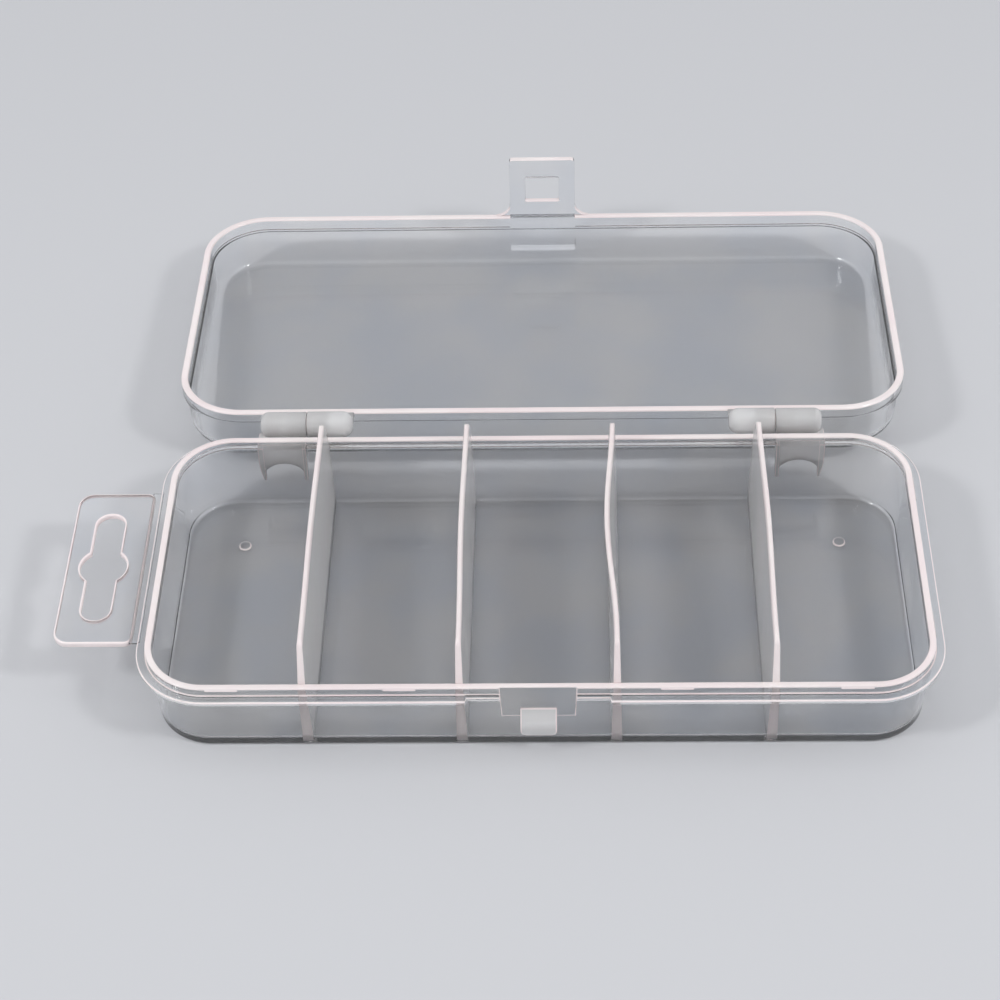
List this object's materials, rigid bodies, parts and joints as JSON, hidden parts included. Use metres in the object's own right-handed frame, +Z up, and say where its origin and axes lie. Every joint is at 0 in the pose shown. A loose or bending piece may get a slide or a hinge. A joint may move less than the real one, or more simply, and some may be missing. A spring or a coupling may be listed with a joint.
{
  "type": "tackle box",
  "caption": "Flat clear plastic tackle box with upright dividers, a snap-hinged lid, a window latch over a ramped catch and a fold-out hang tab.",
  "frame": {"origin": "middle of the underside of the base, on the surface that the box stands on", "axes": "+X along the box, with the hang tab at the -X end; +Y from the latch front to the hinge; +Z up"},
  "size_m": [0.1907, 0.1707, 0.0305],
  "materials": {
    "clear_polypropylene": "clear, slightly hazy, glossy as moulded",
    "milky_polypropylene": "milky translucent, glossy as moulded, where the same plastic is thick"
  },
  "bodies": {
    "base": {"base_tray": "clear_polypropylene", "divider_1": "milky_polypropylene", "divider_2": "milky_polypropylene", "divider_3": "milky_polypropylene", "divider_4": "milky_polypropylene", "latch_catch": "milky_polypropylene", "hinge_clip_left": "milky_polypropylene", "hinge_clip_right": "milky_polypropylene", "hinge_pin_left": "milky_polypropylene", "hinge_pin_right": "milky_polypropylene"},
    "hang_tab": {"hang_tab": "clear_polypropylene"},
    "lid": {"lid_shell": "clear_polypropylene", "hinge_ear_left": "milky_polypropylene", "hinge_ear_right": "milky_polypropylene", "latch_plate": "clear_polypropylene"},
    "latch": {"latch_tab": "clear_polypropylene"}
  },
  "joints": [
    {"name": "lid_hinge", "type": "hinge", "parent": "base", "child": "lid", "pos_m": [0, 0.0441, 0.0182], "axis": [1, 0, 0], "range_deg": [0, 183.54]},
    {"name": "latch_flex", "type": "hinge", "parent": "lid", "child": "latch", "pos_m": [0, 0.12907, 0.01349], "axis": [-1, 0, 0], "range_deg": [0, 12], "stiffness_Nm_per_rad": 0.1},
    {"name": "hang_tab_fold", "type": "hinge", "parent": "base", "child": "hang_tab", "pos_m": [-0.0863, 0, 0.01665], "axis": [0, 1, 0], "range_deg": [-65, 75], "stiffness_Nm_per_rad": 0.02}
  ]
}
